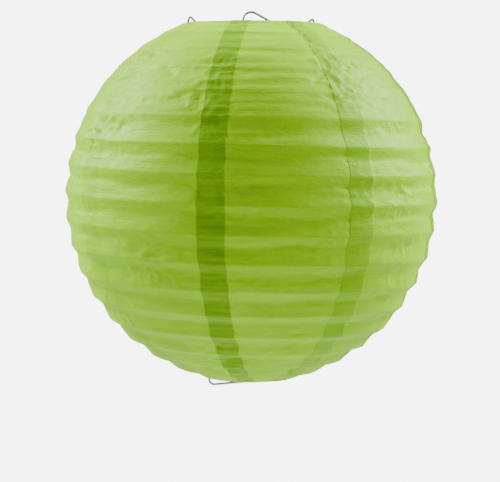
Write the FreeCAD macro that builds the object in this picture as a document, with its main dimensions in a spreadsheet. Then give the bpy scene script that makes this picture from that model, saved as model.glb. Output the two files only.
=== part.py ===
import FreeCAD, Part
import math
import os

# Round hanging paper lantern: eight overlapping gores of tissue paper on a spiral rib wire between
# a top and a bottom ring, held open by one bent wire, the expander, whose loop it hangs from.
# +Z is up, -Y is the front, and the origin is where a cord bears, inside the top of the loop.
# Azimuths are measured from the front, positive towards +X.

DRIVING_DIMENSIONS = {
    # paper globe (mm, degrees)
    "lantern_diameter": 300.0,
    "paper_thickness": 0.15,
    "gore_count": 8,
    "lap_width": 23.0,
    "lap_gap": 0.1,
    "lap_step_angle": 0.3,
    "gore_edge_gap_angle": 0.4,
    "first_gore_azimuth": -51.9,
    # rings and rib wire
    "top_ring_diameter": 109.0,
    "bottom_ring_diameter": 73.0,
    "ring_wire": 1.6,
    "rib_wire": 0.8,
    "rib_turns": 17,
    "rib_cut_gap": 0.3,
    "rib_end_clearance": 0.4,
    "paper_wire_gap": 0.15,
    # expander
    "expander_wire": 2.0,
    "hook_clearance": 0.3,
    "hook_pass_gap": 0.5,
    "top_hook_reach": 3.1,
    "foot_hook_reach": 2.6,
    "hook_depth": 4.2,
    "leg_spacing": 55.0,
    "brace_drop": 9.7,
    "foot_brace_drop": 6.0,
    "cross_bar_drop": 0.5,
    "hump_inset": 5.0,
    "hump_foot_inset": 12.5,
    "left_hump_rise": 7.5,
    "right_hump_rise": 5.1,
    "loop_rise": 10.2,
    "loop_slope": 29.0,
    "left_bar_drop": 8.9,
    "right_bar_drop": 2.6,
    "hook_bend": 2.0,
    "hump_bend": 1.5,
    "loop_bend": 6.7,
    "bar_corner_bend": 4.0,
    "butt_gap": 0.2,
}

FULL_TURN = 360.0
FRONT_ANGLE = 270.0  # polar angle of the front, counter-clockwise from +X
ARCS_PER_RIB_TURN = 24

SHEET = "Dimensions"
PAPER_OUTER = f"{SHEET}.lantern_diameter / 2"
PAPER_INNER = f"({PAPER_OUTER} - {SHEET}.paper_thickness)"
LAP_INNER = f"({PAPER_OUTER} + {SHEET}.lap_gap)"
LAP_OUTER = f"({LAP_INNER} + {SHEET}.paper_thickness)"
GORE_ANGLE = f"({FULL_TURN} / {SHEET}.gore_count)"
LAP_ANGLE = f"({SHEET}.lap_width / ({PAPER_OUTER}) * 180 / pi)"
RING_SPHERE = f"({PAPER_INNER} - {SHEET}.paper_wire_gap - {SHEET}.ring_wire / 2)"
TOP_RING_HEIGHT = f"sqrt({RING_SPHERE} ^ 2 - ({SHEET}.top_ring_diameter / 2) ^ 2)"
BOTTOM_RING_HEIGHT = f"(-sqrt({RING_SPHERE} ^ 2 - ({SHEET}.bottom_ring_diameter / 2) ^ 2))"


def make_sheet(doc):
    """Keep the driving dimensions in a spreadsheet, one aliased cell each."""
    sheet = doc.addObject("Spreadsheet::Sheet", SHEET)
    for row, (name, value) in enumerate(DRIVING_DIMENSIONS.items(), start=1):
        sheet.set(f"A{row}", name)
        sheet.set(f"B{row}", str(value))
        sheet.setAlias(f"B{row}", name)
    doc.recompute()
    return sheet


class Layout:
    """Positions worked out from the sheet, used where a shape is set from code."""

    def __init__(self, sheet):
        self.dim = {name: float(getattr(sheet, name)) for name in DRIVING_DIMENSIONS}
        dim = self.dim
        paper_inner = dim["lantern_diameter"] / 2 - dim["paper_thickness"]
        self.ring_sphere = paper_inner - dim["paper_wire_gap"] - dim["ring_wire"] / 2
        self.rib_sphere = paper_inner - dim["paper_wire_gap"] - dim["rib_wire"] / 2
        self.top_radius = dim["top_ring_diameter"] / 2
        self.bottom_radius = dim["bottom_ring_diameter"] / 2
        top_rise = math.sqrt(self.ring_sphere**2 - self.top_radius**2)
        bottom_fall = math.sqrt(self.ring_sphere**2 - self.bottom_radius**2)
        self.top_latitude = math.asin(top_rise / self.ring_sphere)
        self.bottom_latitude = -math.asin(bottom_fall / self.ring_sphere)
        self.ring_plane = dim["expander_wire"] / 2 - dim["loop_rise"]
        self.centre = self.ring_plane - top_rise
        self.bottom_plane = self.centre - bottom_fall
        self.rib_pitch = (self.top_latitude - self.bottom_latitude) / dim["rib_turns"]

    def rib_point(self, turns):
        """Point of the rib wire's centreline after so many turns down from the top ring."""
        latitude = self.top_latitude - self.rib_pitch * turns
        angle = math.radians(FRONT_ANGLE + FULL_TURN * turns)
        radius = self.rib_sphere * math.cos(latitude)
        height = self.centre + self.rib_sphere * math.sin(latitude)
        return FreeCAD.Vector(radius * math.cos(angle), radius * math.sin(angle), height)

    def rib_cut(self, turns):
        """Half the gap left where the rib wire is cut, as a part of a turn."""
        point = self.rib_point(turns)
        return self.dim["rib_cut_gap"] / 2 / (2 * math.pi * math.hypot(point.x, point.y))

    def rib_end(self):
        """How far, in turns, the rib wire ends short of a ring, to stay clear of it."""
        dim = self.dim
        apart = (dim["ring_wire"] + dim["rib_wire"]) / 2 + dim["rib_end_clearance"]
        return apart / self.rib_sphere / self.rib_pitch


def rounded_path(corners):
    """Wire in the XZ plane through (x, z, bend radius) corners; the first and last aren't bent."""
    points = [FreeCAD.Vector(x, 0, z) for x, z, _ in corners]
    edges, start = [], points[0]
    for index in range(1, len(points) - 1):
        corner, bend = points[index], corners[index][2]
        inward = (points[index - 1] - corner).normalize()
        outward = (points[index + 1] - corner).normalize()
        half_angle = inward.getAngle(outward) / 2
        tangent = bend / math.tan(half_angle)
        middle_line = (inward + outward).normalize()
        arc_start = corner + inward * tangent
        arc_end = corner + outward * tangent
        arc_middle = corner + middle_line * (bend / math.sin(half_angle) - bend)
        edges.append(Part.LineSegment(start, arc_start).toShape())
        edges.append(Part.Arc(arc_start, arc_middle, arc_end).toShape())
        start = arc_end
    edges.append(Part.LineSegment(start, points[-1]).toShape())
    return Part.Wire(edges)


def sweep_wire(doc, label, path_shape, wire_alias):
    """Sweep a round wire, its diameter bound to the sheet, along a path."""
    path = doc.addObject("Part::Feature", f"{label}_path")
    path.Shape = path_shape
    first = path_shape.Edges[0]
    section = doc.addObject("Part::Circle", f"{label}_section")
    section.setExpression("Radius", f"{SHEET}.{wire_alias} / 2")
    tangent = first.tangentAt(first.FirstParameter)
    section.Placement = FreeCAD.Placement(
        first.valueAt(first.FirstParameter),
        FreeCAD.Rotation(FreeCAD.Vector(0, 0, 1), tangent),
    )
    sweep = doc.addObject("Part::Sweep", label)
    sweep.Label = label
    sweep.Sections = [section]
    sweep.Spine = (path, [f"Edge{n + 1}" for n in range(len(path_shape.Edges))])
    sweep.Solid = True
    sweep.Frenet = True
    return sweep


def make_ring(doc, label, diameter_alias, height):
    """Plain wire ring at one mouth of the globe."""
    ring = doc.addObject("Part::Torus", label)
    ring.Label = label
    ring.setExpression("Radius1", f"{SHEET}.{diameter_alias} / 2")
    ring.setExpression("Radius2", f"{SHEET}.ring_wire / 2")
    ring.Placement.Base = FreeCAD.Vector(0, 0, height)
    return ring


def make_rib_turn(doc, layout, number):
    """One turn of the spiral rib wire, cut from the next so that each can follow the fold."""
    turns = int(layout.dim["rib_turns"])
    start = number - 1 + layout.rib_cut(number - 1)
    end = number - layout.rib_cut(number)
    if number == 1:
        start = layout.rib_end()
    if number == turns:
        end = turns - layout.rib_end()
    span = (end - start) / ARCS_PER_RIB_TURN
    arcs = []
    for n in range(ARCS_PER_RIB_TURN):
        first, middle, last = (layout.rib_point(start + span * (n + part)) for part in (0, 0.5, 1))
        arcs.append(Part.Arc(first, middle, last).toShape())
    return sweep_wire(doc, f"rib_turn_{number:02d}", Part.Wire(arcs), "rib_wire")


def make_band(doc, name, inner, outer, start_angle, sweep_angle, centre):
    """Thin spherical band of paper between the two rings, over part of the way round."""
    solid = doc.addObject("Part::Sphere", f"{name}_outer")
    solid.setExpression("Radius", outer)
    solid.setExpression("Angle1", f"asin({BOTTOM_RING_HEIGHT} / {RING_SPHERE})")
    solid.setExpression("Angle2", f"asin({TOP_RING_HEIGHT} / {RING_SPHERE})")
    solid.setExpression("Angle3", sweep_angle)
    solid.Placement.Base = centre
    solid.setExpression("Placement.Rotation.Angle", start_angle)
    hollow = doc.addObject("Part::Sphere", f"{name}_inner")
    hollow.setExpression("Radius", inner)
    hollow.Placement.Base = centre
    band = doc.addObject("Part::Cut", name)
    band.Base = solid
    band.Tool = hollow
    return band


def make_gore(doc, layout, number):
    """One gore of paper: its face, a small step out, and the lap over the edge of the gore before."""
    label = f"paper_gore_{number}"
    centre = FreeCAD.Vector(0, 0, layout.centre)
    gap = f"{SHEET}.gore_edge_gap_angle"
    step = f"{SHEET}.lap_step_angle"
    turn = f"({FRONT_ANGLE} + {SHEET}.first_gore_azimuth + {number - 1} * {GORE_ANGLE})"
    bands = [
        make_band(doc, f"{label}_face", PAPER_INNER, PAPER_OUTER, turn, f"{GORE_ANGLE} - {gap}", centre),
        make_band(doc, f"{label}_step", PAPER_INNER, LAP_OUTER, turn, step, centre),
        make_band(doc, f"{label}_lap", LAP_INNER, LAP_OUTER,
                  f"{turn} - {LAP_ANGLE}", f"{LAP_ANGLE} + {step}", centre),
    ]
    gore = doc.addObject("Part::MultiFuse", label)
    gore.Label = label
    gore.Shapes = bands
    return gore


def expander_corners(layout):
    """Corners of the expander's centreline, as (x, z, bend radius), round from the cross bar."""
    dim = layout.dim
    half_wire = dim["expander_wire"] / 2
    wires_apart = half_wire + dim["ring_wire"] / 2
    top, bottom = layout.ring_plane, layout.bottom_plane
    bar_z = top - dim["cross_bar_drop"]
    hook, leg_x = dim["hook_bend"], dim["leg_spacing"] / 2

    def top_hook(side, hump_rise):
        """From the cross bar over the hump, out under the top ring and back in to the leg."""
        arm_z = top - wires_apart - dim["hook_clearance"]
        pass_x = layout.top_radius - wires_apart - dim["hook_pass_gap"]
        nose_x = layout.top_radius + dim["top_hook_reach"]
        low_z = arm_z - dim["hook_depth"]
        return [
            (side * (layout.top_radius - dim["hump_foot_inset"]), bar_z, hook),
            (side * (layout.top_radius - dim["hump_inset"]), top + hump_rise, dim["hump_bend"]),
            (side * pass_x, arm_z, hook),
            (side * nose_x, arm_z, hook),
            (side * nose_x, low_z, hook),
            (side * leg_x, low_z - dim["brace_drop"], hook),
        ]

    def foot_hook(side, bar_drop, bar_bend):
        """From the leg out over the bottom ring, back in and down through it to the bottom bar."""
        arm_z = bottom + wires_apart + dim["hook_clearance"]
        pass_x = layout.bottom_radius - wires_apart - dim["hook_pass_gap"]
        nose_x = layout.bottom_radius + dim["foot_hook_reach"]
        high_z = arm_z + dim["hook_depth"]
        return [
            (side * leg_x, high_z + dim["foot_brace_drop"], hook),
            (side * nose_x, high_z, hook),
            (side * nose_x, arm_z, hook),
            (side * pass_x, arm_z, hook),
            (side * pass_x, bottom - bar_drop, bar_bend),
        ]

    bend, slope = dim["loop_bend"], math.radians(dim["loop_slope"])
    bend_centre_z = top + dim["loop_rise"] - bend
    slope_start_z = bend_centre_z + bend * math.cos(slope)
    slope_foot_x = bend * math.sin(slope) + (slope_start_z - bar_z) / math.tan(slope)
    loop = [
        (-bend, bar_z, hook),
        (-bend, bend_centre_z + bend * (1 + math.sin(slope)) / math.cos(slope), bend),
        (slope_foot_x, bar_z, hook),
    ]
    butt_x = (-bend - layout.top_radius + dim["hump_foot_inset"]) / 2
    right = top_hook(1, dim["right_hump_rise"]) + foot_hook(1, dim["right_bar_drop"], hook)
    left = top_hook(-1, dim["left_hump_rise"]) + foot_hook(-1, dim["left_bar_drop"], dim["bar_corner_bend"])
    start = [(butt_x + dim["butt_gap"] / 2, bar_z, 0)]
    end = [(butt_x - dim["butt_gap"] / 2, bar_z, 0)]
    return start + loop + right + left[::-1] + end


def check_and_export(doc, sub_parts):
    """Stop on any failed object or bad solid, then write one STEP file per sub-part."""
    for item in doc.Objects:
        if "Invalid" in item.State or "Error" in item.State:
            raise RuntimeError(f"{item.Label} failed to recompute: {item.State}")
    for item in sub_parts:
        if item.Shape.isNull() or not item.Shape.isValid() or len(item.Shape.Solids) != 1:
            raise RuntimeError(f"{item.Label} is not one valid solid")
    os.makedirs("parts", exist_ok=True)
    for item in sub_parts:
        item.Shape.exportStep(os.path.join("parts", f"{item.Label}.step"))


def main():
    doc = FreeCAD.newDocument("PaperLantern")
    layout = Layout(make_sheet(doc))
    sub_parts = [
        make_ring(doc, "top_ring", "top_ring_diameter", layout.ring_plane),
        make_ring(doc, "bottom_ring", "bottom_ring_diameter", layout.bottom_plane),
    ]
    for number in range(1, int(layout.dim["rib_turns"]) + 1):
        sub_parts.append(make_rib_turn(doc, layout, number))
    for number in range(1, int(layout.dim["gore_count"]) + 1):
        sub_parts.append(make_gore(doc, layout, number))
    sub_parts.append(sweep_wire(doc, "expander", rounded_path(expander_corners(layout)), "expander_wire"))
    doc.recompute()
    check_and_export(doc, sub_parts)
    print(f"top ring plane z {layout.ring_plane:.3f}, centre z {layout.centre:.3f}, "
          f"bottom ring plane z {layout.bottom_plane:.3f}")
    for item in sub_parts:
        print(f"{item.Label}: {item.Shape.Volume:.1f} mm3")


main()
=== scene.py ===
"""Looks of a round hanging paper lantern: tissue gores lapped over one spiral rib wire.

The CAD frame gives every place and size. This script adds the crumpled tissue, the long rib wire
and the finishes. Lengths are in metres, azimuths in degrees from the front, positive towards +X.
"""
import logging
import math
from dataclasses import dataclass
from enum import Enum

import bpy
import numpy as np
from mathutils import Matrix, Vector, noise


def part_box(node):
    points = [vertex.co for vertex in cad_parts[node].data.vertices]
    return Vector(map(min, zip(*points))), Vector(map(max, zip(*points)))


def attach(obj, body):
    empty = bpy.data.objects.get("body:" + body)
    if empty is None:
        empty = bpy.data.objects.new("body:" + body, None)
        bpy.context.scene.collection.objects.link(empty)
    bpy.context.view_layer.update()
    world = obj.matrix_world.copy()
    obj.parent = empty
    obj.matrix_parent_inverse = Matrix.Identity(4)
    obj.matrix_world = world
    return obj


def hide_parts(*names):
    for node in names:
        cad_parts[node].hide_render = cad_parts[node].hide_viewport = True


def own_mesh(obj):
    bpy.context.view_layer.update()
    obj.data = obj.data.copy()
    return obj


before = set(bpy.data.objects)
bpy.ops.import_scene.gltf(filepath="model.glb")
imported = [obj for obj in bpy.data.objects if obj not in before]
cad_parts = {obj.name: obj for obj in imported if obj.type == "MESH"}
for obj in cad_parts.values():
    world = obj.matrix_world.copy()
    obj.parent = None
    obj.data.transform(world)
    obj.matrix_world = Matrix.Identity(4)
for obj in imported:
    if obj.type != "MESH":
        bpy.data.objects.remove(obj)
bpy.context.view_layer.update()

MM = 0.001
FULL_TURN = 360.0
SMOOTH_BELOW = math.radians(50.0)
TINY = 1e-6
log = logging.getLogger("paper_lantern")


@dataclass(frozen=True)
class Rumple:
    """A place where the tissue was crumpled harder, by azimuth, latitude and reach in degrees."""

    azimuth: float
    latitude: float
    reach: float
    amount: float


RUMPLES = (
    Rumple(-60.0, 22.0, 9.0, 1.0),
    Rumple(-52.0, 46.0, 9.0, 0.6),
    Rumple(31.0, 60.0, 8.0, 0.8),
    Rumple(36.0, 41.0, 10.0, 0.9),
    Rumple(150.0, 20.0, 14.0, 0.8),
    Rumple(-140.0, -15.0, 14.0, 0.7),
)


@dataclass(frozen=True)
class Ripple:
    """One layer of wrinkles: its depth and length, how much closer it runs down than round, a shift."""

    depth: float
    length: float
    closer: float = 1.0
    shift: tuple[float, float, float] = (0.0, 0.0, 0.0)

    def at(self, x: float, y: float, z: float) -> float:
        """Its noise at a point, about -1 to 1, before its depth is applied."""
        return noise.noise(Vector((x, y, z * self.closer)) / self.length + Vector(self.shift))


LONG_WAVE = Ripple(0.5 * MM, 34 * MM, 6.0)
FINE_WAVE = Ripple(0.55 * MM, 60 * MM, 13.0, (2.0, 6.0, 3.0))
SMALL_FOLD = Ripple(1.7 * MM, 15 * MM, 1.8, (7.0, 3.0, 1.0))
FACET = Ripple(0.8 * MM, 7 * MM, 1.0, (1.0, 9.0, 4.0))
PATCH = Ripple(1.7, 48 * MM, 1.0, (3.0, 5.0, 8.0))


@dataclass(frozen=True)
class Sway:
    """A slow change round the globe, so that no two stretches between ribs hang alike."""

    waves: float
    phase_per_turn: float

    def at(self, azimuth: np.ndarray, turn: np.ndarray) -> np.ndarray:
        """Its value from -1 to 1, at azimuths in degrees and turns below the top ring."""
        return np.sin(np.radians(azimuth) * self.waves + turn * self.phase_per_turn)


SWAYS = (Sway(5.0, 2.4), Sway(13.0, 5.1))


class Fold(Enum):
    """Which way a crease stands out of the tissue."""

    RIDGE = 1.0
    VALLEY = -1.0


@dataclass(frozen=True)
class Crease:
    """One hard crease in the tissue, from one azimuth and latitude to another, in degrees."""

    start: tuple[float, float]
    end: tuple[float, float]
    fold: Fold
    depth: float
    width: float
    fullness: float = 1.6
    end_share: float = 0.35


CREASES = (
    Crease((-29.0, 31.4), (-15.6, 36.0), Fold.VALLEY, 0.9 * MM, 1.5 * MM),
    Crease((-28.0, 33.4), (-18.0, 37.6), Fold.RIDGE, 0.5 * MM, 2.4 * MM),
    Crease((-20.0, 66.3), (3.0, 66.3), Fold.VALLEY, 0.8 * MM, 1.3 * MM),
    Crease((-64.0, 26.5), (-57.5, 29.0), Fold.VALLEY, 1.6 * MM, 2.2 * MM),
    Crease((-66.0, 19.0), (-58.0, 18.0), Fold.VALLEY, 1.8 * MM, 2.4 * MM),
    Crease((-62.0, 34.5), (-56.0, 36.0), Fold.VALLEY, 1.1 * MM, 2.0 * MM),
    Crease((-38.0, 44.3), (-30.5, 40.6), Fold.VALLEY, 1.6 * MM, 3.4 * MM),
    Crease((-66.0, 52.6), (-45.0, 48.8), Fold.VALLEY, 1.2 * MM, 2.6 * MM),
    Crease((-58.0, 55.5), (-52.0, 47.0), Fold.RIDGE, 0.9 * MM, 2.4 * MM),
    Crease((-61.0, 15.0), (-56.0, 22.5), Fold.VALLEY, 1.8 * MM, 3.0 * MM),
    Crease((-56.0, 22.5), (-50.5, 26.5), Fold.RIDGE, 1.2 * MM, 2.6 * MM),
    Crease((30.6, 66.5), (31.1, 54.0), Fold.VALLEY, 1.5 * MM, 1.8 * MM),
    Crease((31.1, 54.0), (40.0, 50.5), Fold.VALLEY, 1.0 * MM, 2.0 * MM),
    Crease((33.2, 43.7), (22.0, 36.6), Fold.VALLEY, 1.1 * MM, 1.9 * MM),
    Crease((24.2, 45.4), (33.4, 50.7), Fold.RIDGE, 0.8 * MM, 1.8 * MM),
    Crease((34.8, 35.2), (38.9, 33.3), Fold.VALLEY, 1.1 * MM, 1.8 * MM),
    Crease((36.6, 43.8), (41.5, 40.6), Fold.VALLEY, 0.8 * MM, 1.8 * MM),
)


def turned_by(azimuth: np.ndarray, start: float) -> np.ndarray:
    """Degrees from one azimuth to others, the short way round."""
    return (azimuth - start + FULL_TURN / 2) % FULL_TURN - FULL_TURN / 2


@dataclass(frozen=True)
class Ring:
    """A wire ring as the frame has it."""

    radius: float
    wire: float
    height: float

    @classmethod
    def from_node(cls, node: str) -> "Ring":
        """Read a ring's sizes from its CAD node.

        Args:
            node: The ring's node.

        Returns:
            The ring.
        """
        low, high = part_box(node)
        wire = high.z - low.z
        return cls((high.x - low.x - wire) / 2, wire, (high.z + low.z) / 2)


class Globe:
    """The sphere that the rings, the rib wire and the tissue lie on."""

    def __init__(self) -> None:
        """Work the sphere out from the two rings and the rib turns of the frame."""
        self.top = Ring.from_node("top_ring")
        self.bottom = Ring.from_node("bottom_ring")
        rise = self.top.height - self.bottom.height
        squares = self.top.height**2 - self.bottom.height**2
        squares += self.top.radius**2 - self.bottom.radius**2
        self.centre = squares / (2 * rise)
        self.ring_sphere = math.hypot(self.top.radius, self.top.height - self.centre)
        self.turns = [n for n in sorted(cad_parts) if n.startswith("rib_turn_")]
        low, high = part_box(self.turns[len(self.turns) // 2])
        self.rib_reach = (high.x - low.x) / 2
        self.top_latitude = math.asin((self.top.height - self.centre) / self.ring_sphere)
        self.bottom_latitude = math.asin((self.bottom.height - self.centre) / self.ring_sphere)
        self.pitch = (self.top_latitude - self.bottom_latitude) / len(self.turns)

    def latitude(self, turn: np.ndarray) -> np.ndarray:
        """Latitude, in radians, so many turns below the top ring."""
        return self.top_latitude - self.pitch * turn


@dataclass
class RibWire:
    """The one long rib wire that winds from ring to ring under the tissue."""

    globe: Globe
    wire: float = 0.8 * MM
    steps_per_turn: int = 60
    end_gap: float = 0.075  # turns left free at each ring

    def build(self) -> bpy.types.Object:
        """Wind the wire as one curve and turn it into a mesh.

        Returns:
            The finished rib wire.
        """
        radius = self.globe.rib_reach - self.wire / 2
        count = len(self.globe.turns) * self.steps_per_turn
        along = np.linspace(self.end_gap, len(self.globe.turns) - self.end_gap, count)
        latitude = self.globe.latitude(along)
        bpy.ops.object.select_all(action="DESELECT")
        bpy.ops.curve.primitive_nurbs_path_add()
        wire = bpy.context.object
        wire.name = "rib_wire"
        wire.data.splines.clear()
        spline = wire.data.splines.new("NURBS")
        spline.points.add(count - 1)
        angle = 2 * math.pi * along
        x = radius * np.cos(latitude) * np.sin(angle)
        y = -radius * np.cos(latitude) * np.cos(angle)
        z = self.globe.centre + radius * np.sin(latitude)
        spline.points.foreach_set("co", np.stack([x, y, z, np.ones(count)], 1).ravel())
        spline.order_u = 4
        spline.use_endpoint_u = True
        wire.data.resolution_u = 2
        wire.data.bevel_depth = self.wire / 2
        wire.data.bevel_resolution = 2
        wire.data.use_fill_caps = True
        bpy.ops.object.convert(target="MESH")
        bpy.ops.object.shade_smooth()
        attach(wire, "root")
        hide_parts(*self.globe.turns)
        return wire


@dataclass
class GoreCut:
    """Where one gore's CAD solid starts and ends round the globe, in degrees."""

    node: str
    start: float
    end: float

    @classmethod
    def from_node(cls, node: str) -> "GoreCut":
        """Read a gore's two edges from the points of its CAD node.

        Args:
            node: The gore's node.

        Returns:
            The cut gore.
        """
        points = np.array([v.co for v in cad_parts[node].data.vertices])
        azimuth = np.degrees(np.arctan2(points[:, 0], -points[:, 1]))
        middle = math.degrees(math.atan2(points[:, 0].mean(), -points[:, 1].mean()))
        apart = turned_by(azimuth, middle)
        return cls(node, middle + apart.min(), middle + apart.max())


@dataclass
class Tissue:
    """The tissue paper: how it is lapped, how it sags between ribs and how it is crumpled."""

    globe: Globe
    thickness: float = 0.1 * MM
    over_wire: float = 0.2 * MM
    layer_gap: float = 0.22 * MM
    lap_at_pole: float = 10.2 * MM
    lap_more_at_equator: float = 10.9 * MM
    sag: float = 2.9 * MM
    sag_fold: float = 0.4
    sag_roundness: float = 7.0
    sag_sway: float = 0.13
    fold_sway: float = 0.05
    span_power: float = 1.4
    shortest_span: float = 1e-3
    slack_latitude: float = 20.5
    tight_latitudes: float = 8.0
    sag_lost_tight: float = 0.8
    fold_lost_tight: float = 0.62
    rough_usual: float = 0.42
    rough_range: tuple[float, float] = (0.05, 1.7)
    fold_level: float = 0.16
    # painted shade on each gore's lap, from 0, none, to 1, full; two layers let less light through
    lap_shade_levels: tuple[float, ...] = (0.3, 1.0, 0.55, 0.8, 0.7, 1.0, 0.6, 0.8)
    flap: float = 7 * MM
    across: int = 108
    rows_per_turn: int = 18
    roll_rows: int = 8
    flap_rows: int = 5
    hem_rows: int = 3
    least_rows: int = 3
    line_margin: float = 0.1

    def lap_width(self, latitude: np.ndarray) -> np.ndarray:
        """Width of a lap at a latitude, wider towards the equator."""
        return self.lap_at_pole + self.lap_more_at_equator * np.cos(latitude)

    def lap_angle(self, latitude: np.ndarray) -> np.ndarray:
        """The lap's width as degrees round the globe."""
        return np.degrees(self.lap_width(latitude) / (self.paper_radius() * np.cos(latitude)))

    def lap_shade_level(self, node: str) -> float:
        """How dark a gore's lap is painted: painted shade for the light that two layers of tissue let
        through less, from 0, not darkened, to 1, fully darkened.
        """
        return self.lap_shade_levels[int(node.rsplit("_", 1)[1]) - 1]

    def paper_radius(self) -> float:
        """Radius of the tissue where it lies on a ring."""
        return self.globe.ring_sphere + self.globe.top.wire / 2 + self.over_wire

    def breaks(self, low: float, high: float) -> list[tuple[float, float]]:
        """Lines that the rows of a gore keep to: the rings and every rib that crosses it whole.

        Args:
            low: The gore's lowest azimuth, in degrees.
            high: Its highest azimuth.

        Returns:
            Pairs of a plain turn count and how much of the azimuth's own part is added to it.
        """
        last, margin = len(self.globe.turns), self.line_margin
        whole = [n for n in range(-1, last + 1)
                 if n + low / FULL_TURN >= margin and n + high / FULL_TURN <= last - margin]
        return [(0.0, 0.0)] + [(float(n), 1.0) for n in whole] + [(float(last), 0.0)]

    def row_turns(self, low: float, high: float) -> tuple[np.ndarray, np.ndarray]:
        """Rows of a gore, from the top ring to the bottom ring.

        Args:
            low: The gore's lowest azimuth, in degrees.
            high: Its highest azimuth.

        Returns:
            Each row's plain turn count, and how much of the azimuth's own part is added to it.
        """
        lines = self.breaks(low, high)
        middle = (low + high) / 2 / FULL_TURN
        base, share = [], []
        for (n0, s0), (n1, s1) in zip(lines, lines[1:]):
            span = (n1 + s1 * middle) - (n0 + s0 * middle)
            rows = max(self.least_rows, round(self.rows_per_turn * span))
            part = np.arange(rows) / rows
            base.append(n0 + (n1 - n0) * part)
            share.append(s0 + (s1 - s0) * part)
        base.append(np.array([lines[-1][0]]))
        share.append(np.array([lines[-1][1]]))
        return np.concatenate(base), np.concatenate(share)

    def sag_at(self, turn: np.ndarray, azimuth: np.ndarray) -> tuple[np.ndarray, np.ndarray]:
        """How far the tissue hangs in between the wires, and how free of them it is.

        Args:
            turn: Turns below the top ring.
            azimuth: Degrees from the front.

        Returns:
            The depth of the sag, and a freedom from 0 on a wire to 1 midway.
        """
        own = (azimuth / FULL_TURN) % 1.0
        last = float(len(self.globe.turns))
        over = np.floor(turn - own + TINY) + own
        above = np.clip(over, 0.0, last)
        below = np.clip(over + 1.0, 0.0, last)
        span = np.maximum(below - above, self.shortest_span)
        place = np.clip((turn - above) / span, 0.0, 1.0)
        sway = sum(one.at(azimuth, above) for one in SWAYS)
        latitude = np.degrees(self.globe.latitude(turn))
        tight = np.clip((latitude - self.slack_latitude) / self.tight_latitudes, 0.0, 1.0)
        fold = (self.sag_fold + self.fold_sway * sway) * (1 - self.fold_lost_tight * tight)
        fall, climb = place / fold, (1 - place) / (1 - fold)
        power = -self.sag_roundness
        shape = (np.maximum(fall, TINY) ** power + np.maximum(climb, TINY) ** power) ** (1 / power)
        depth = self.sag * (1 + self.sag_sway * sway) * span**self.span_power
        depth = depth * (1 - self.sag_lost_tight * tight)
        return depth * shape, np.sqrt(np.clip(4 * place * (1 - place), 0, 1)) * span

    def crumple(self, azimuth: np.ndarray, latitude: np.ndarray) -> np.ndarray:
        """Height of the wrinkles and creases, the same for both layers of a lap.

        Args:
            azimuth: Degrees from the front.
            latitude: Latitude in radians.

        Returns:
            Heights in metres, positive outwards.
        """
        radius = self.globe.ring_sphere
        flat_a, flat_l = azimuth.ravel(), latitude.ravel()
        turned = np.radians(flat_a)
        ring = radius * np.cos(flat_l)
        x, y, z = ring * np.sin(turned), -ring * np.cos(turned), radius * np.sin(flat_l)
        height, hard = np.zeros(flat_a.size), np.zeros(flat_a.size)
        for rumple in RUMPLES:
            aside = turned_by(flat_a, rumple.azimuth)
            away = np.hypot(aside * np.cos(flat_l), np.degrees(flat_l) - rumple.latitude)
            hard += rumple.amount * np.exp(-((away / rumple.reach) ** 2))
        smooth, crushed = self.rough_range
        for i in range(flat_a.size):
            point = (x[i], y[i], z[i])
            waves = LONG_WAVE.depth * LONG_WAVE.at(*point) + FINE_WAVE.depth * FINE_WAVE.at(*point)
            folds = SMALL_FOLD.depth * (self.fold_level - abs(SMALL_FOLD.at(*point)))
            folds += FACET.depth * (self.fold_level - abs(FACET.at(*point)))
            rough = self.rough_usual + PATCH.depth * PATCH.at(*point) + hard[i]
            height[i] = waves + min(max(rough, smooth), crushed) * folds
        return height.reshape(azimuth.shape) + self.hard_creases(azimuth, latitude)

    def hard_creases(self, azimuth: np.ndarray, latitude: np.ndarray) -> np.ndarray:
        """Height of the named hard creases.

        Args:
            azimuth: Degrees from the front.
            latitude: Latitude in radians.

        Returns:
            Heights in metres, positive outwards.
        """
        radius = self.globe.ring_sphere
        total = np.zeros(azimuth.shape)
        for crease in CREASES:
            middle = math.radians((crease.start[1] + crease.end[1]) / 2)
            u = np.radians(turned_by(azimuth, crease.start[0])) * radius * math.cos(middle)
            v = (latitude - math.radians(crease.start[1])) * radius
            eu = math.radians(crease.end[0] - crease.start[0]) * radius * math.cos(middle)
            ev = math.radians(crease.end[1] - crease.start[1]) * radius
            part = np.clip((u * eu + v * ev) / (eu * eu + ev * ev), 0.0, 1.0)
            away = np.hypot(u - part * eu, v - part * ev)
            rise = np.sqrt(np.clip(4 * part * (1 - part), 0, 1))
            taper = np.clip(crease.fullness * rise, crease.end_share, 1.0)
            total += crease.fold.value * crease.depth * taper * np.exp(-away / crease.width)
        return total


@dataclass
class Band:
    """Rows of points across a gore, the painted shade on them where two layers lie on each other, and how
    far down the gore they lie.
    """

    points: np.ndarray
    painted_lap_shade: np.ndarray
    down: np.ndarray

    def part(self, span: slice) -> "Band":
        """Some of its rows."""
        return Band(self.points[span], self.painted_lap_shade[span], self.down[span])

    @classmethod
    def joined(cls, bands: tuple["Band", ...]) -> "Band":
        """Several bands as one, in their order."""
        return cls(np.concatenate([band.points for band in bands]),
                   np.concatenate([band.painted_lap_shade for band in bands]),
                   np.concatenate([band.down for band in bands]))


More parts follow.
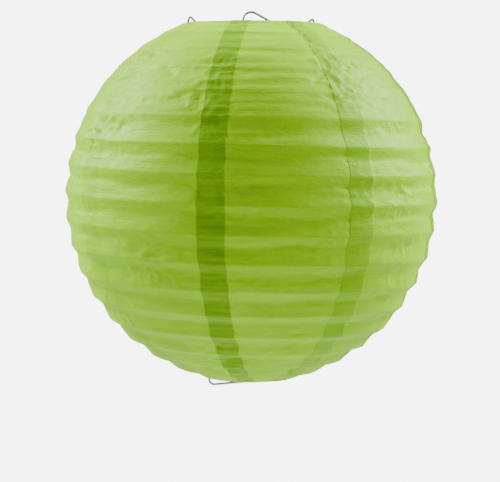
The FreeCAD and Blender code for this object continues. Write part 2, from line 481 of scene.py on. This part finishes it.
@dataclass
class Gore:
    """One gore of tissue, lapped over the gore before it and rolled over both rings."""

    tissue: Tissue
    cut: GoreCut
    after: GoreCut
    edge_wobble: float = 1.1 * MM
    wobble_pace: float = 9.0
    edge_tear: float = 0.45 * MM
    tear_pace: float = 42.0
    lap_step: float = 2.2 * MM
    curl: float = 0.04 * MM
    curl_width: float = 3.0 * MM
    held_crumple: float = 0.12
    flap_tear: float = 1.6 * MM
    flap_tear_pace: float = 0.35
    flap_lean: float = 0.05

    def edges(self, latitude: np.ndarray) -> tuple[np.ndarray, np.ndarray]:
        """Azimuths of the gore's torn left edge and straight right edge.

        Args:
            latitude: Latitude of each row, in radians.

        Returns:
            The left and the right edge, in degrees.
        """
        wobble = [noise.noise(Vector((self.cut.start, a * self.wobble_pace, 0.3))) for a in latitude]
        torn = [noise.noise(Vector((self.cut.start, a * self.tear_pace, 5.3))) for a in latitude]
        ragged = self.edge_wobble * np.array(wobble) + self.edge_tear * np.array(torn)
        around = self.tissue.paper_radius() * np.cos(latitude)
        left = self.cut.start + np.degrees(ragged / around)
        return left, self.after_start() + self.tissue.lap_angle(latitude)

    def grid(self) -> tuple[np.ndarray, np.ndarray]:
        """Lay the gore's rows and columns between the rings.

        Returns:
            Azimuth in degrees, and turns below the top ring.
        """
        globe, tissue = self.tissue.globe, self.tissue
        widest = tissue.lap_angle(np.array([globe.top_latitude, globe.bottom_latitude])).min()
        base, share = tissue.row_turns(self.cut.start, self.after_start() + float(widest))
        column = np.linspace(0.0, 1.0, tissue.across + 1)
        turn = np.repeat((base + share * self.cut.start / FULL_TURN)[:, None], column.size, axis=1)
        azimuth = np.zeros_like(turn)
        for _ in range(4):  # each row's place depends a little on its own edges, so it is laid again
            left, right = self.edges(globe.latitude(turn.mean(1)))
            azimuth = left[:, None] + (right - left)[:, None] * column[None, :]
            turn = base[:, None] + share[:, None] * azimuth / FULL_TURN
            turn = np.clip(turn, 0.0, len(globe.turns))
        return azimuth, turn

    def after_start(self) -> float:
        """Left edge of the next gore, on from this gore's own."""
        first = self.after.start
        while first < self.cut.start:
            first += FULL_TURN
        return first

    def layer_lift(self, azimuth: np.ndarray, latitude: np.ndarray) -> tuple[np.ndarray, np.ndarray]:
        """How far the gore stands off the layer under it, and the painted shade where it laps.

        Args:
            azimuth: Degrees from the front.
            latitude: Latitude in radians.

        Returns:
            The lift in metres, and the painted shade where two layers lie on each other, standing in for
            the light they let through less.
        """
        tissue = self.tissue
        around = tissue.paper_radius() * np.cos(latitude)
        from_left = np.radians(azimuth - self.cut.start) * around
        lap = tissue.lap_width(latitude)
        past = np.clip((from_left - lap) / self.lap_step, 0.0, 1.0)
        lift = tissue.layer_gap * (1 - past * past * (3 - 2 * past))
        lift = lift + self.curl * np.clip(1 - from_left / self.curl_width, 0.0, 1.0) ** 2
        to_right = np.radians(azimuth - self.after_start()) * around
        own, following = tissue.lap_shade_level(self.cut.node), tissue.lap_shade_level(self.after.node)
        # Painted shade: laps darken where two layers lie on each other, for the light that they let
        # through less.
        painted_lap_shade = np.where(from_left < lap, own, 0.0) + np.where(to_right > 0.0, following, 0.0)
        return lift, painted_lap_shade

    def build(self) -> tuple[bpy.types.Object, bpy.types.Object, bpy.types.Object]:
        """Make the gore in three pieces, so that its hems stay round their rings when it folds.

        Returns:
            The top hem, the gore itself and the bottom hem.
        """
        azimuth, turn = self.grid()
        top, main, foot = self.bands(azimuth, turn)
        whole = Band.joined((top, main, foot))
        count, kept = len(whole.points), self.tissue.hem_rows
        start, end = len(top.points) - 1 + kept, count - len(foot.points) - kept
        across = (azimuth[:1, :] - self.cut.start) / (self.cut.end - self.cut.start)
        around = np.repeat(across, count, axis=0)
        names = (self.hem_name("top"), self.piece_name(), self.hem_name("bottom"))
        spans = (slice(0, start + 1), slice(start, end + 1), slice(end, count))
        made = [self.lay(name, whole.part(span), around[span]) for name, span in zip(names, spans)]
        return made[0], made[1], made[2]

    def lay(self, name: str, band: Band, around: np.ndarray) -> bpy.types.Object:
        """Make one piece of the gore from its rows of points.

        Args:
            name: The piece's name.
            band: Its rows of points, from the top down and from left to right.
            around: Each point's place across the cut gore.

        Returns:
            The piece, with its thickness.
        """
        count, wide = band.painted_lap_shade.shape
        index = np.arange(count * wide).reshape(count, wide)
        quads = np.stack([index[:-1, :-1], index[1:, :-1], index[1:, 1:], index[:-1, 1:]], -1)
        mesh = bpy.data.meshes.new(name)
        mesh.from_pydata(band.points.reshape(-1, 3).tolist(), [], quads.reshape(-1, 4).tolist())
        # The painted lap shade rides on the mesh as a point attribute.
        mesh.attributes.new("painted_lap_shade", "FLOAT", "POINT").data.foreach_set("value", band.painted_lap_shade.ravel())
        layer = mesh.uv_layers.new(name="cut")
        corner = np.zeros(len(mesh.loops), dtype=np.int32)
        mesh.loops.foreach_get("vertex_index", corner)
        flat = np.stack([around.ravel()[corner], band.down.ravel()[corner]], 1)
        layer.data.foreach_set("uv", flat.ravel())
        piece = bpy.data.objects.new(name, mesh)
        bpy.context.scene.collection.objects.link(piece)
        self.thicken(piece)
        return piece

    def piece_name(self) -> str:
        """Name of the finished gore."""
        return self.cut.node.replace("paper_gore", "tissue_gore")

    def hem_name(self, end: str) -> str:
        """Name of the hem at one end of the gore."""
        return self.cut.node.replace("paper_gore", f"{end}_hem")

    def thicken(self, gore: bpy.types.Object) -> None:
        """Give the gore its thickness, inwards, and smooth its shading.

        Args:
            gore: The gore or hem, still without thickness.
        """
        bpy.ops.object.select_all(action="DESELECT")
        gore.select_set(True)
        bpy.context.view_layer.objects.active = gore
        solid = gore.modifiers.new("thickness", "SOLIDIFY")
        solid.thickness = self.tissue.thickness
        solid.offset = -1.0
        bpy.ops.object.modifier_apply(modifier=solid.name)
        bpy.ops.object.shade_smooth_by_angle(angle=SMOOTH_BELOW)

    def bands(self, azimuth: np.ndarray, turn: np.ndarray) -> tuple[Band, Band, Band]:
        """Every row of the gore, from the end of the top flap to the end of the bottom flap.

        Args:
            azimuth: Degrees from the front, for each row and column between the rings.
            turn: Turns below the top ring, for the same.

        Returns:
            The rows over the top ring, between the rings, and over the bottom ring.
        """
        globe, tissue = self.tissue.globe, self.tissue
        latitude = globe.latitude(turn)
        sag, free = tissue.sag_at(turn, azimuth)
        lift, painted_lap_shade = self.layer_lift(azimuth, latitude)
        loose = self.held_crumple + (1 - self.held_crumple) * free
        height = lift - sag + tissue.crumple(azimuth, latitude) * loose
        main = self.place(azimuth, latitude, tissue.paper_radius() + height)
        down = (globe.top_latitude - latitude) * tissue.paper_radius()
        top = self.hem(globe.top, globe.top_latitude, 1, azimuth[0], lift[0], painted_lap_shade[0])
        foot = self.hem(globe.bottom, globe.bottom_latitude, -1, azimuth[-1], lift[-1], painted_lap_shade[-1])
        upwards, inner = slice(None, None, -1), slice(1, -1)
        top.down = -top.down
        foot.down = float(down[-1].mean()) + foot.down
        return top.part(upwards), Band(main, painted_lap_shade, down).part(inner), foot

    def place(self, azimuth: np.ndarray, latitude: np.ndarray, radius: np.ndarray) -> np.ndarray:
        """Find points about the globe's centre.

        Args:
            azimuth: Degrees from the front.
            latitude: Latitude in radians.
            radius: Distance from the centre.

        Returns:
            The points.
        """
        turned = np.radians(azimuth)
        ring = radius * np.cos(latitude)
        height = self.tissue.globe.centre + radius * np.sin(latitude)
        return np.stack([ring * np.sin(turned), -ring * np.cos(turned), height], -1)

    def hem(self, ring: Ring, latitude: float, side: int, azimuth: np.ndarray, lift: np.ndarray,
            painted_lap_shade: np.ndarray) -> Band:
        """Roll the tissue over a ring and a little way down inside.

        Args:
            ring: The ring it rolls over.
            latitude: The ring's latitude, in radians.
            side: 1 at the top ring, -1 at the bottom ring.
            azimuth: Degrees from the front, for each column.
            lift: How far each column stands off the layer under it.
            painted_lap_shade: The painted shade of each column where two layers lie on each other.

        Returns:
            The rows from the outside of the ring to the end of the flap.
        """
        tissue = self.tissue
        out = np.array([math.cos(latitude), math.sin(latitude)])
        past = side * np.array([-math.sin(latitude), math.cos(latitude)])
        hub = np.array([ring.radius, ring.height])
        reach = ring.wire / 2 + tissue.over_wire + lift[:, None]
        bands, distance = [], []
        for angle in np.linspace(0.0, math.pi, tissue.roll_rows + 1):
            bands.append(hub + reach * (math.cos(angle) * out + math.sin(angle) * past))
            distance.append(angle * ring.wire / 2)
        ragged = np.array([noise.noise(Vector((a * self.flap_tear_pace, side * 4.0, self.cut.start)))
                           for a in azimuth])
        for step in range(1, tissue.flap_rows + 1):
            reached = step / tissue.flap_rows * (tissue.flap + self.flap_tear * ragged)
            lean = self.flap_lean * reached[:, None] * out
            bands.append(hub - reach * out - lean - reached[:, None] * past)
            distance.append(float(distance[tissue.roll_rows]) + step / tissue.flap_rows * tissue.flap)
        section = np.array(bands)
        turned = np.radians(azimuth)[None, :]
        x = section[..., 0] * np.sin(turned)
        y = -section[..., 0] * np.cos(turned)
        points = np.stack([x, y, section[..., 1]], -1)
        run = np.repeat(np.array(distance)[:, None], azimuth.size, axis=1)
        return Band(points, np.repeat(painted_lap_shade[None, :], len(distance), axis=0), run)

    def flat_size(self) -> tuple[float, float, float]:
        """Work out what the gore was cut to, before it was hung.

        Returns:
            Its greatest width and its length in metres, and its area in square metres.
        """
        globe, tissue = self.tissue.globe, self.tissue
        samples = 400
        latitude = np.linspace(globe.bottom_latitude, globe.top_latitude, samples)
        left, right = self.edges(latitude)
        wide = np.radians(right - left) * tissue.paper_radius() * np.cos(latitude)
        hem = math.pi * globe.top.wire / 2 + tissue.flap
        length = (globe.top_latitude - globe.bottom_latitude) * tissue.paper_radius() + 2 * hem
        step = np.diff(latitude) * tissue.paper_radius()
        area = float(((wide[1:] + wide[:-1]) / 2 * step).sum()) + hem * float(wide[0] + wide[-1])
        return float(wide.max()), length, area

    def fit(self, top_hem: bpy.types.Object, gore: bpy.types.Object, bottom_hem: bpy.types.Object) -> None:
        """Hang the gore in the frame, with each hem on its own ring's body.

        Args:
            top_hem: Its hem round the top ring.
            gore: The gore between its hems.
            bottom_hem: Its hem round the bottom ring.
        """
        width, length, area = self.flat_size()
        for piece, body in ((top_hem, "root"), (gore, "root"), (bottom_hem, "bottom_ring")):
            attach(piece, body)
        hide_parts(self.cut.node)


def new_group(name: str, inputs: dict[str, float], outputs: tuple[str, ...]) -> bpy.types.ShaderNodeTree:
    """Start a shader node group.

    Args:
        name: The group's name.
        inputs: Number inputs and their usual values.
        outputs: Names of the outputs, each a single value.

    Returns:
        The empty group, with its input and output nodes.
    """
    group = bpy.data.node_groups.new(name, "ShaderNodeTree")
    group.interface.new_socket("Place", in_out="INPUT", socket_type="NodeSocketVector")
    for key, value in inputs.items():
        socket = group.interface.new_socket(key, in_out="INPUT", socket_type="NodeSocketFloat")
        socket.default_value = value
    for key in outputs:
        group.interface.new_socket(key, in_out="OUTPUT", socket_type="NodeSocketFloat")
    group.nodes.new("NodeGroupInput").name = "in"
    group.nodes.new("NodeGroupOutput").name = "out"
    return group


def streaks_group() -> bpy.types.ShaderNodeTree:
    """Make fine streaks that run round the piece, as fibres in tissue or marks on drawn wire.

    Returns:
        The node group.
    """
    group = new_group("fine_streaks", {"Size": 900.0, "Stretch": 0.06}, ("Value",))
    nodes, links = group.nodes, group.links
    scale = nodes.new("ShaderNodeCombineXYZ")
    scale.inputs["Z"].default_value = 1.0
    multiply = nodes.new("ShaderNodeVectorMath")
    multiply.operation = "MULTIPLY"
    grain = nodes.new("ShaderNodeTexNoise")
    grain.inputs["Detail"].default_value = 5.0
    grain.inputs["Roughness"].default_value = 0.6
    links.new(nodes["in"].outputs["Stretch"], scale.inputs["X"])
    links.new(nodes["in"].outputs["Stretch"], scale.inputs["Y"])
    links.new(nodes["in"].outputs["Place"], multiply.inputs[0])
    links.new(scale.outputs[0], multiply.inputs[1])
    links.new(multiply.outputs[0], grain.inputs["Vector"])
    links.new(nodes["in"].outputs["Size"], grain.inputs["Scale"])
    links.new(grain.outputs["Fac"], nodes["out"].inputs["Value"])
    return group


def crinkle_group() -> bpy.types.ShaderNodeTree:
    """Make sharp little folds, as where thin paper was crumpled and smoothed out again.

    Returns:
        The node group.
    """
    group = new_group("crinkle", {"Size": 120.0, "Flatness": 2.0}, ("Value",))
    nodes, links = group.nodes, group.links
    scale = nodes.new("ShaderNodeCombineXYZ")
    scale.inputs["X"].default_value = 1.0
    scale.inputs["Y"].default_value = 1.0
    multiply = nodes.new("ShaderNodeVectorMath")
    multiply.operation = "MULTIPLY"
    bend = nodes.new("ShaderNodeTexNoise")
    bend.inputs["Detail"].default_value = 3.0
    centred = nodes.new("ShaderNodeMath")
    centred.operation = "SUBTRACT"
    centred.inputs[1].default_value = 0.5
    ridge = nodes.new("ShaderNodeMath")
    ridge.operation = "ABSOLUTE"
    links.new(nodes["in"].outputs["Flatness"], scale.inputs["Z"])
    links.new(nodes["in"].outputs["Place"], multiply.inputs[0])
    links.new(scale.outputs[0], multiply.inputs[1])
    links.new(multiply.outputs[0], bend.inputs["Vector"])
    links.new(nodes["in"].outputs["Size"], bend.inputs["Scale"])
    links.new(bend.outputs["Fac"], centred.inputs[0])
    links.new(centred.outputs[0], ridge.inputs[0])
    links.new(ridge.outputs[0], nodes["out"].inputs["Value"])
    return group


def place_group(tree: bpy.types.ShaderNodeTree, group: bpy.types.ShaderNodeTree,
                **values: float) -> bpy.types.ShaderNode:
    """Put a node group in a material, on the piece's own coordinates.

    Args:
        tree: The material's nodes.
        group: The node group.
        values: The group's inputs, by name.

    Returns:
        The placed group.
    """
    node = tree.nodes.new("ShaderNodeGroup")
    node.node_tree = group
    for key, value in values.items():
        node.inputs[key].default_value = value
    tree.links.new(tree.nodes["place"].outputs["Object"], node.inputs["Place"])
    return node


def spread(tree: bpy.types.ShaderNodeTree, source: bpy.types.NodeSocket, low: float, high: float,
           new_low: float, new_high: float) -> bpy.types.NodeSocket:
    """Map a value from one range to another.

    Args:
        tree: The material's nodes.
        source: The value.
        low: The low end of its range.
        high: The high end.
        new_low: What the low end becomes.
        new_high: What the high end becomes.

    Returns:
        The mapped value.
    """
    node = tree.nodes.new("ShaderNodeMapRange")
    for key, value in (("From Min", low), ("From Max", high), ("To Min", new_low), ("To Max", new_high)):
        node.inputs[key].default_value = value
    tree.links.new(source, node.inputs["Value"])
    return node.outputs["Result"]


def mix_colours(tree: bpy.types.ShaderNodeTree, share: bpy.types.NodeSocket,
                first: bpy.types.NodeSocket | tuple, second: bpy.types.NodeSocket | tuple,
                ) -> bpy.types.NodeSocket:
    """Mix two colours.

    Args:
        tree: The material's nodes.
        share: How much of the second colour, from 0 to 1.
        first: The first colour, or the socket that gives it.
        second: The second colour, or the socket that gives it.

    Returns:
        The mixed colour.
    """
    node = tree.nodes.new("ShaderNodeMix")
    node.data_type = "RGBA"
    tree.links.new(share, node.inputs["Factor"])
    for socket, colour in ((node.inputs[6], first), (node.inputs[7], second)):  # its two colour inputs
        if isinstance(colour, tuple):
            socket.default_value = (*colour, 1.0)
        else:
            tree.links.new(colour, socket)
    return node.outputs[2]


def start_material(name: str) -> tuple[bpy.types.Material, bpy.types.ShaderNodeTree, bpy.types.ShaderNode]:
    """Start a material, with its coordinates ready.

    Args:
        name: The material's name.

    Returns:
        The material, its nodes and its Principled shader.
    """
    material = bpy.data.materials.new(name)
    material.use_nodes = True
    tree = material.node_tree
    tree.nodes.new("ShaderNodeTexCoord").name = "place"
    return material, tree, tree.nodes["Principled BSDF"]


@dataclass(frozen=True)
class Bump:
    """How deep a pattern is and how strongly it shows."""

    depth: float
    strength: float


def add_bump(tree: bpy.types.ShaderNodeTree, height: bpy.types.NodeSocket, bump: Bump,
             below: bpy.types.NodeSocket | None = None) -> bpy.types.NodeSocket:
    """Turn a height into a normal.

    Args:
        tree: The material's nodes.
        height: The height.
        bump: How deep it is and how strongly it shows.
        below: A normal that it is laid on.

    Returns:
        The normal.
    """
    node = tree.nodes.new("ShaderNodeBump")
    node.inputs["Distance"].default_value = bump.depth
    node.inputs["Strength"].default_value = bump.strength
    tree.links.new(height, node.inputs["Height"])
    if below is not None:
        tree.links.new(below, node.inputs["Normal"])
    return node.outputs["Normal"]


@dataclass(frozen=True)
class LimeTissue:
    """Lime-green tissue paper with a soft sheen, with painted shade where two layers lie on each other."""

    name: str = "lime_tissue"
    single: tuple[float, float, float] = (0.30, 0.66, 0.004)
    pale: tuple[float, float, float] = (0.38, 0.76, 0.010)
    # painted shade of the laps, where two layers let less light through
    lap_shade_colour: tuple[float, float, float] = (0.155, 0.37, 0.004)
    shine: tuple[float, float, float] = (0.48, 1.0, 0.0)
    roughness: float = 0.40
    specular: float = 0.14
    sheen: float = 0.55
    sheen_roughness: float = 0.4
    mottling: float = 0.5
    fibre_paleness: float = 0.3
    rougher_in_folds: float = 0.1
    smoother_on_folds: float = 0.06
    fold_bump: Bump = Bump(1.4 * MM, 0.5)
    small_bump: Bump = Bump(0.35 * MM, 0.35)
    fibre_bump: Bump = Bump(0.45 * MM, 0.5)

    def build(self, streaks: bpy.types.ShaderNodeTree,
              crinkle: bpy.types.ShaderNodeTree) -> bpy.types.Material:
        """Mix the tissue from its colour, the painted shade on its laps, its fibres and its crinkles.

        Args:
            streaks: The node group of fine streaks.
            crinkle: The node group of little folds.

        Returns:
            The material.
        """
        material, tree, shader = start_material(self.name)
        fibres = place_group(tree, streaks, Size=520.0, Stretch=0.03)
        cloud = place_group(tree, streaks, Size=60.0, Stretch=0.5)
        folds = place_group(tree, crinkle, Size=110.0, Flatness=2.4)
        small = place_group(tree, crinkle, Size=340.0, Flatness=1.6)
        layers = tree.nodes.new("ShaderNodeAttribute")
        layers.attribute_name = "painted_lap_shade"
        mottled = spread(tree, cloud.outputs["Value"], 0.35, 0.65, 0.0, self.mottling)
        single = mix_colours(tree, mottled, self.single, self.pale)
        # Painted shade: the laps are darkened where two layers of tissue let less light through.
        tone_with_lap_shade = mix_colours(tree, layers.outputs["Fac"], single, self.lap_shade_colour)
        fine = spread(tree, fibres.outputs["Value"], 0.35, 0.7, 0.0, self.fibre_paleness)
        tree.links.new(mix_colours(tree, fine, tone_with_lap_shade, self.pale), shader.inputs["Base Color"])
        rough = spread(tree, folds.outputs["Value"], 0.0, 0.25, self.roughness + self.rougher_in_folds,
                       self.roughness - self.smoother_on_folds)
        tree.links.new(rough, shader.inputs["Roughness"])
        normal = add_bump(tree, folds.outputs["Value"], self.fold_bump)
        normal = add_bump(tree, small.outputs["Value"], self.small_bump, normal)
        normal = add_bump(tree, fibres.outputs["Value"], self.fibre_bump, normal)
        tree.links.new(normal, shader.inputs["Normal"])
        shader.inputs["Specular IOR Level"].default_value = self.specular
        shader.inputs["Specular Tint"].default_value = (*self.shine, 1.0)
        shader.inputs["Sheen Weight"].default_value = self.sheen
        shader.inputs["Sheen Roughness"].default_value = self.sheen_roughness
        shader.inputs["Sheen Tint"].default_value = (*self.shine, 1.0)
        return material


@dataclass(frozen=True)
class ZincWire:
    """Drawn steel wire with a dull zinc coat, streaked along its length and spotted grey."""

    name: str = "zinc_wire"
    bright: tuple[float, float, float] = (0.78, 0.81, 0.84)
    dull: tuple[float, float, float] = (0.42, 0.45, 0.43)
    roughness: float = 0.34
    metallic: float = 0.7
    dullest: float = 0.75
    brightest: float = 0.1
    smoother_in_marks: float = 0.08
    rougher_on_marks: float = 0.14
    mark_bump: Bump = Bump(0.05 * MM, 0.35)

    def build(self, streaks: bpy.types.ShaderNodeTree,
              crinkle: bpy.types.ShaderNodeTree) -> bpy.types.Material:
        """Mix the wire from its streaks and its dull spots.

        Args:
            streaks: The node group of fine streaks.
            crinkle: The node group of little folds.

        Returns:
            The material.
        """
        material, tree, shader = start_material(self.name)
        marks = place_group(tree, streaks, Size=1400.0, Stretch=0.35)
        spots = place_group(tree, crinkle, Size=260.0, Flatness=1.0)
        dulled = spread(tree, spots.outputs["Value"], 0.0, 0.2, self.dullest, self.brightest)
        tree.links.new(mix_colours(tree, dulled, self.bright, self.dull), shader.inputs["Base Color"])
        worn = spread(tree, marks.outputs["Value"], 0.3, 0.7, self.roughness - self.smoother_in_marks,
                      self.roughness + self.rougher_on_marks)
        tree.links.new(worn, shader.inputs["Roughness"])
        tree.links.new(add_bump(tree, marks.outputs["Value"], self.mark_bump), shader.inputs["Normal"])
        shader.inputs["Metallic"].default_value = self.metallic
        return material


def dress(piece: bpy.types.Object, material: bpy.types.Material) -> None:
    """Give a piece one material all over."""
    piece.data.materials.clear()
    piece.data.materials.append(material)


@dataclass(frozen=True)
class Softbox:
    """A square light: its name, its place from the globe's middle, its side and its power in watts."""

    name: str
    place: tuple[float, float, float]
    size: float
    power: float


SOFTBOXES = (
    Softbox("left_softbox", (-1.15, 0.32, 0.85), 0.9, 58.0),
    Softbox("right_softbox", (1.15, 0.32, 0.85), 0.9, 58.0),
    Softbox("front_softbox", (0.0, -1.75, 0.1), 1.2, 6.6),
)


@dataclass
class Studio:
    """Camera, lights and floor round the lantern."""

    globe: Globe
    camera_away: float = 1.37
    camera_aside: float = -1.0 * MM
    camera_over: float = 72.5 * MM
    aim_under: float = 35.5 * MM
    lens: float = 122.0
    floor_under: float = 1.2
    floor_size: float = 7.0
    floor_grey: float = 0.93
    floor_roughness: float = 0.9
    floor_glow: float = 0.25
    room_light: float = 0.15
    room_brightness: float = 6.5

    def build(self) -> None:
        """Place the camera, the pale floor and the soft lights."""
        self.add_camera()
        self.add_floor()
        for softbox in SOFTBOXES:
            self.add_light(softbox)
        self.add_room()

    def add_room(self) -> None:
        """Surround the lantern with a white room that gives a weak, even light of its own."""
        world = bpy.data.worlds.new("white_room")
        bpy.context.scene.world = world
        world.use_nodes = True
        tree = world.node_tree
        filling = tree.nodes["Background"]
        filling.inputs["Color"].default_value = (1.0, 1.0, 1.0, 1.0)
        filling.inputs["Strength"].default_value = self.room_light
        seen = tree.nodes.new("ShaderNodeBackground")
        seen.inputs["Color"].default_value = (1.0, 1.0, 1.0, 1.0)
        seen.inputs["Strength"].default_value = self.room_brightness
        mix = tree.nodes.new("ShaderNodeMixShader")
        path = tree.nodes.new("ShaderNodeLightPath")
        tree.links.new(path.outputs["Is Camera Ray"], mix.inputs["Fac"])
        tree.links.new(filling.outputs[0], mix.inputs[1])
        tree.links.new(seen.outputs[0], mix.inputs[2])
        tree.links.new(mix.outputs[0], tree.nodes["World Output"].inputs["Surface"])

    def aim(self, item: bpy.types.Object, target: Vector) -> None:
        """Turn a camera or a light towards a point."""
        item.rotation_euler = (target - item.location).to_track_quat("-Z", "Y").to_euler()

    def add_camera(self) -> None:
        """Place the camera a little above the globe's middle."""
        data = bpy.data.cameras.new("camera")
        data.lens = self.lens
        camera = bpy.data.objects.new("camera", data)
        bpy.context.scene.collection.objects.link(camera)
        camera.location = (self.camera_aside, -self.camera_away, self.globe.centre + self.camera_over)
        self.aim(camera, Vector((self.camera_aside, 0.0, self.globe.centre - self.aim_under)))
        bpy.context.scene.camera = camera

    def add_floor(self) -> None:
        """Lay a wide pale floor well below the lantern."""
        bpy.ops.object.select_all(action="DESELECT")
        place = (0.0, 0.0, self.globe.centre - self.floor_under)
        bpy.ops.mesh.primitive_plane_add(size=self.floor_size, location=place)
        floor = bpy.context.object
        floor.name = "floor"
        material = bpy.data.materials.new("pale_floor")
        material.use_nodes = True
        shader = material.node_tree.nodes["Principled BSDF"]
        shader.inputs["Base Color"].default_value = (*(self.floor_grey,) * 3, 1.0)
        shader.inputs["Roughness"].default_value = self.floor_roughness
        shader.inputs["Emission Color"].default_value = (1.0, 1.0, 1.0, 1.0)
        shader.inputs["Emission Strength"].default_value = self.floor_glow
        dress(floor, material)

    def add_light(self, softbox: Softbox) -> None:
        """Hang one softbox, aimed at the globe's middle.

        Args:
            softbox: The light.
        """
        data = bpy.data.lights.new(softbox.name, "AREA")
        data.size = softbox.size
        data.energy = softbox.power
        light = bpy.data.objects.new(softbox.name, data)
        bpy.context.scene.collection.objects.link(light)
        middle = Vector((0.0, 0.0, self.globe.centre))
        light.location = middle + Vector(softbox.place)
        self.aim(light, middle)


def write_sizes() -> None:
    """Bring the scene up to date."""
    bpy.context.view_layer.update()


def main() -> None:
    """Build the lantern's looks around the frame."""
    logging.basicConfig(level=logging.INFO, format="%(name)s: %(message)s")
    globe = Globe()
    Studio(globe).build()
    streaks, crinkle = streaks_group(), crinkle_group()
    tissue_paper = LimeTissue().build(streaks, crinkle)
    zinc = ZincWire().build(streaks, crinkle)
    rib = RibWire(globe).build()
    dress(rib, zinc)
    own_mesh(rib)
    log.info("rib wire: %d faces", len(rib.data.polygons))
    tissue = Tissue(globe)
    cuts = [GoreCut.from_node(n) for n in sorted(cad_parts) if n.startswith("paper_gore_")]
    for cut, after in zip(cuts, cuts[1:] + cuts[:1]):
        plan = Gore(tissue, cut, after)
        top_hem, gore, bottom_hem = plan.build()
        for piece in (top_hem, gore, bottom_hem):
            dress(piece, tissue_paper)
        plan.fit(top_hem, gore, bottom_hem)
        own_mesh(gore)
        log.info("%s: %d faces, cut %.0f x %.0f mm", gore.name, len(gore.data.polygons),
                 *(size / MM for size in plan.flat_size()[:2]))
    for node in ("top_ring", "bottom_ring", "expander"):
        dress(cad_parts[node], zinc)
        log.info("%s: kept from the frame", node)
    write_sizes()


if __name__ == "__main__":
    main()
